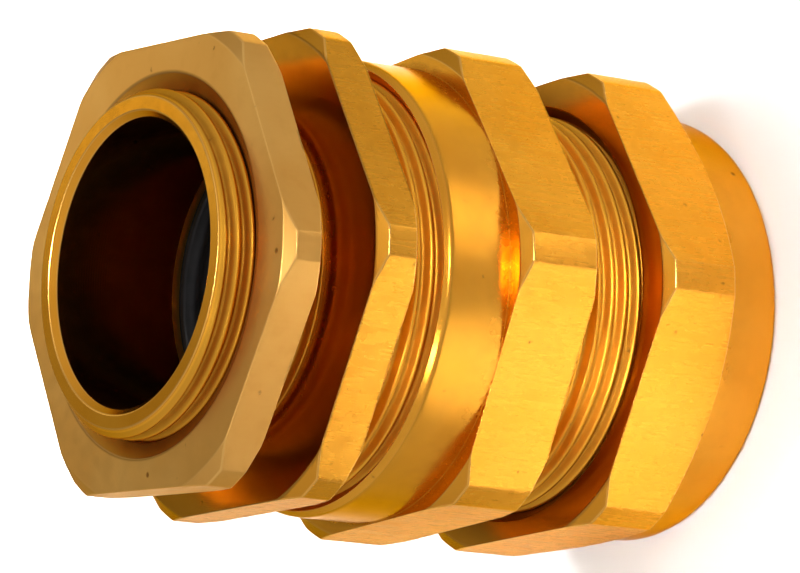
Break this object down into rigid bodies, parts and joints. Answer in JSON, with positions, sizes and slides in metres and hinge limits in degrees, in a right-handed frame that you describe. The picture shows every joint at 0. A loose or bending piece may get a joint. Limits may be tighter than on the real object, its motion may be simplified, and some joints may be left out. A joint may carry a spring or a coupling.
{
  "type": "armoured cable gland",
  "caption": "Double-compression brass cable gland for armoured cable: locknut, entry body, clamping middle body and seal nut on one axis.",
  "frame": {"origin": "centre of the entry body's hexagon face that seats on the enclosure", "axes": "+Z along the entry thread, into the enclosure; the cable comes in from -Z; +Y is square to a pair of the entry body's flats"},
  "size_m": [0.0482, 0.044, 0.0591],
  "materials": {
    "polished_brass": "polished, turned",
    "turned_brass": "satin, as turned",
    "black_rubber": "matt, moulded"
  },
  "bodies": {
    "entry_body": {"entry_body": "polished_brass", "inner_seal": "black_rubber"},
    "locknut_link": {"inner_seat_washer": "turned_brass"},
    "locknut": {"locknut": "polished_brass"},
    "cone": {"armour_cone": "turned_brass", "inner_skid_washer": "turned_brass"},
    "clamp_ring": {"armour_clamp_ring": "turned_brass"},
    "middle_body": {"middle_body": "polished_brass", "outer_seat_washer": "turned_brass", "outer_seal": "black_rubber"},
    "outer_washer": {"outer_skid_washer": "turned_brass"},
    "seal_nut": {"seal_nut": "polished_brass"}
  },
  "joints": [
    {"name": "locknut_turn", "type": "hinge", "parent": "entry_body", "child": "locknut_link", "pos_m": [0, 0, 0.007], "axis": [0, 0, 1], "range_deg": [-1176, 1200]},
    {"name": "locknut_travel", "type": "slide", "parent": "locknut_link", "child": "locknut", "axis": [0, 0, 1], "range_m": [-0.0049, 0.005]},
    {"name": "cone_travel", "type": "slide", "parent": "entry_body", "child": "cone", "axis": [0, 0, 1], "range_m": [-0.00114, 0.0016], "deforming": ["inner_seal"]},
    {"name": "clamp_ring_travel", "type": "slide", "parent": "entry_body", "child": "clamp_ring", "axis": [0, 0, 1], "range_m": [-0.003, 0.0042]},
    {"name": "middle_body_turn", "type": "hinge", "parent": "clamp_ring", "child": "middle_body", "pos_m": [0, 0, -0.02], "axis": [0, 0, 1], "range_deg": [-720, 1008]},
    {"name": "outer_washer_travel", "type": "slide", "parent": "middle_body", "child": "outer_washer", "axis": [0, 0, 1], "range_m": [-0.003, 0.00375], "deforming": ["outer_seal"]},
    {"name": "seal_nut_turn", "type": "hinge", "parent": "outer_washer", "child": "seal_nut", "pos_m": [0, 0, -0.04], "axis": [0, 0, 1], "range_deg": [-720, 900]}
  ],
  "couplings": [
    {"joint": "locknut_travel", "follows": "locknut_turn", "m_per_rad": 0.00023873},
    {"joint": "clamp_ring_travel", "follows": "middle_body_turn", "m_per_rad": 0.00023873},
    {"joint": "cone_travel", "follows": "middle_body_turn", "m_per_rad": 0.000090946},
    {"joint": "outer_washer_travel", "follows": "seal_nut_turn", "m_per_rad": 0.00023873}
  ]
}
